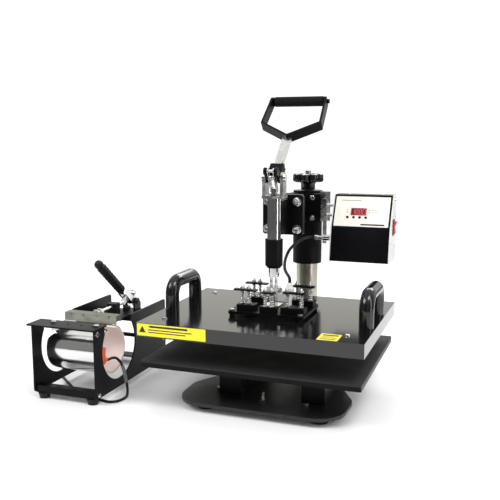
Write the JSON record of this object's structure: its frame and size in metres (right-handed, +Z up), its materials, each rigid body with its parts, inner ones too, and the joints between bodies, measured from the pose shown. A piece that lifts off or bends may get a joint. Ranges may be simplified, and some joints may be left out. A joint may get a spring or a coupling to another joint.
{
  "type": "combination mug heat press",
  "caption": "Swing-away flat heat press with a toggle lever and control box, and a separate clamp-type mug press beside it.",
  "frame": {"origin": "bottom centre of the bounding box of both presses, on the bench, leaving out the loose lead, its coil and its plug", "axes": "+X to the operator's right, along the longest side; +Y away from the operator; +Z up"},
  "size_m": [0.6911, 0.495, 0.5633],
  "materials": {
    "black_steel": "semi-gloss powder coat",
    "rubber": "matte",
    "silicone": "matte",
    "chrome": "polished",
    "zinc": "zinc plated",
    "stainless": "bright rolled",
    "aluminium": "dark non-stick coat",
    "black_plastic": "semi-gloss",
    "grey_plastic": "matte",
    "cream_plastic": "satin membrane",
    "red_plastic": "gloss",
    "white_plastic": "matte",
    "board": "matte",
    "insulation": "woven"
  },
  "bodies": {
    "base": {"base_plate": "black_steel", "base_feet": "rubber", "post": "chrome", "pedestals": "black_steel", "base_bolts": "zinc", "lower_platen": "black_steel", "silicone_pad": "silicone", "mug_plate_left": "black_steel", "mug_plate_right": "black_steel", "mug_rails": "black_steel", "mug_feet": "rubber", "mug_screws": "zinc", "wrap_jacket": "stainless", "wrap_liner": "silicone", "wrap_boot": "silicone", "clamp_bracket": "black_steel", "mug_lead": "rubber", "lead_coil": "rubber", "lead_plug": "black_plastic"},
    "arm": {"arm_sleeve": "black_steel", "arm_block": "black_steel", "arm_front_plate": "black_steel", "arm_bolts": "zinc", "guide_tube": "zinc", "guide_collar": "black_steel", "toggle_bracket": "zinc", "pivot_pin": "chrome", "control_bracket": "zinc", "control_shell": "black_steel", "control_end_covers": "grey_plastic", "control_panel": "cream_plastic", "cable_connector": "chrome", "control_board": "board", "heater_cable": "rubber"},
    "knob": {"star_knob": "black_plastic"},
    "rocker": {"rocker_switch": "red_plastic"},
    "head": {"plunger_rod": "chrome", "swivel_yoke": "zinc", "mounting_plate": "black_steel", "spring_studs": "zinc", "leveling_springs": "zinc", "spring_bars": "black_steel", "platen_cover": "black_steel", "insulation_board": "insulation", "heating_plate": "aluminium", "platen_handles": "black_plastic", "cable_gland": "white_plastic"},
    "lever": {"lever_fork": "black_steel", "lever_bar": "zinc", "lever_loop": "black_steel", "loop_grip": "rubber"},
    "link": {"toggle_link": "zinc"},
    "mug_lever": {"clamp_lever": "zinc", "clamp_grip": "rubber"},
    "jaw": {"jaw_channel": "zinc", "clamp_rod": "zinc"},
    "button_1": {"panel_button_1": "black_plastic"},
    "button_2": {"panel_button_2": "black_plastic"},
    "button_3": {"panel_button_3": "black_plastic"},
    "button_4": {"panel_button_4": "black_plastic"}
  },
  "joints": [
    {"name": "arm_swing", "type": "hinge", "parent": "base", "child": "arm", "pos_m": [0.104, 0.1855, 0], "axis": [0, 0, 1], "range_deg": [0, 75]},
    {"name": "platen_slide", "type": "slide", "parent": "arm", "child": "head", "axis": [0, 0, -1], "range_m": [0, 0.0435], "deforming": ["heater_cable"]},
    {"name": "lever_turn", "type": "hinge", "parent": "arm", "child": "lever", "pos_m": [0.104, -0.0505, 0.408], "axis": [1, 0, 0], "range_deg": [0, 123.1]},
    {"name": "link_turn", "type": "hinge", "parent": "head", "child": "link", "pos_m": [0.104, -0.0505, 0.38702], "axis": [1, 0, 0], "range_deg": [-31, 0]},
    {"name": "knob_turn", "type": "hinge", "parent": "arm", "child": "knob", "pos_m": [0.104, 0.1855, 0.385], "axis": [0, 0, 1], "continuous": true},
    {"name": "rocker_tilt", "type": "hinge", "parent": "arm", "child": "rocker", "pos_m": [0.298, 0.1055, 0.307], "axis": [0, -1, 0], "range_deg": [0, 14]},
    {"name": "mug_lever_turn", "type": "hinge", "parent": "base", "child": "mug_lever", "pos_m": [-0.237, 0.0165, 0.134], "axis": [1, 0, 0], "range_deg": [-16, 16]},
    {"name": "jaw_slide", "type": "slide", "parent": "base", "child": "jaw", "axis": [0, -1, 0], "range_m": [-0.0056, 0.0056]},
    {"name": "button_1_press", "type": "slide", "parent": "arm", "child": "button_1", "axis": [0, 0.8916, -0.4529], "range_m": [0, 0.0008], "stiffness_N_per_m": 600},
    {"name": "button_2_press", "type": "slide", "parent": "arm", "child": "button_2", "axis": [0, 0.8916, -0.4529], "range_m": [0, 0.0008], "stiffness_N_per_m": 600},
    {"name": "button_3_press", "type": "slide", "parent": "arm", "child": "button_3", "axis": [0, 0.8916, -0.4529], "range_m": [0, 0.0008], "stiffness_N_per_m": 600},
    {"name": "button_4_press", "type": "slide", "parent": "arm", "child": "button_4", "axis": [0, 0.8916, -0.4529], "range_m": [0, 0.0008], "stiffness_N_per_m": 600}
  ],
  "couplings": [
    {"joint": "lever_turn", "follows": "platen_slide", "rad_per_m": 49.35},
    {"joint": "link_turn", "follows": "platen_slide", "rad_per_m": -12.4},
    {"joint": "jaw_slide", "follows": "mug_lever_turn", "m_per_rad": 0.02}
  ]
}
